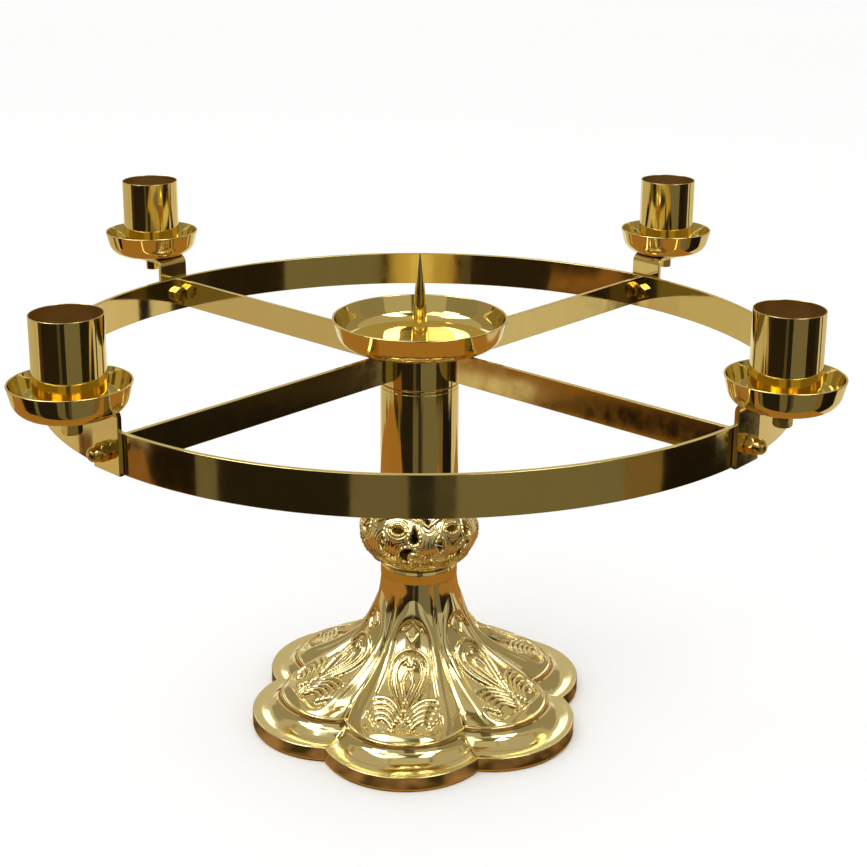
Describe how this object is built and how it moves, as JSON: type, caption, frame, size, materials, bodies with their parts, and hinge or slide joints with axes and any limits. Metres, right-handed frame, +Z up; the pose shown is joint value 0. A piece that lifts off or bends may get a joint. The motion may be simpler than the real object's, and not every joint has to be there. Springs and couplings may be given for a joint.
{
  "type": "advent candle holder",
  "caption": "Brass table stand with a lobed foot, a pierced knop and a turning spoked hoop that carries candle sockets with drip cups round a middle spike pan.",
  "frame": {"origin": "middle of the foot's underside, on the table", "axes": "+Z up along the stem, +X to the right, -Y towards the viewer of the picture; the spokes lie on the diagonals"},
  "size_m": [0.4999, 0.5, 0.3419],
  "materials": {
    "polished_brass": "polished and lacquered",
    "plated_steel": "zinc plated"
  },
  "bodies": {
    "stand": {"foot": "polished_brass", "rod_washer": "plated_steel", "rod_nut": "plated_steel", "tie_rod": "plated_steel", "neck_collar": "polished_brass", "knop": "polished_brass", "stem_collar": "polished_brass", "stem_tube": "polished_brass", "spigot_plug": "polished_brass", "drip_pan": "polished_brass", "candle_spike": "polished_brass"},
    "wheel": {"hub": "polished_brass", "hoop": "polished_brass", "spoke_front_left": "polished_brass", "bracket_front_left": "polished_brass", "drip_cup_front_left": "polished_brass", "candle_socket_front_left": "polished_brass", "spoke_front_right": "polished_brass", "bracket_front_right": "polished_brass", "drip_cup_front_right": "polished_brass", "candle_socket_front_right": "polished_brass", "spoke_back_right": "polished_brass", "bracket_back_right": "polished_brass", "drip_cup_back_right": "polished_brass", "candle_socket_back_right": "polished_brass", "spoke_back_left": "polished_brass", "bracket_back_left": "polished_brass", "drip_cup_back_left": "polished_brass", "candle_socket_back_left": "polished_brass", "hoop_bolts": "polished_brass", "cap_nuts": "polished_brass", "socket_screws": "polished_brass", "socket_nuts": "polished_brass"}
  },
  "joints": [
    {"name": "wheel_swivel", "type": "hinge", "parent": "stand", "child": "wheel", "pos_m": [0, 0, 0.25412], "axis": [0, 0, 1], "continuous": true}
  ]
}
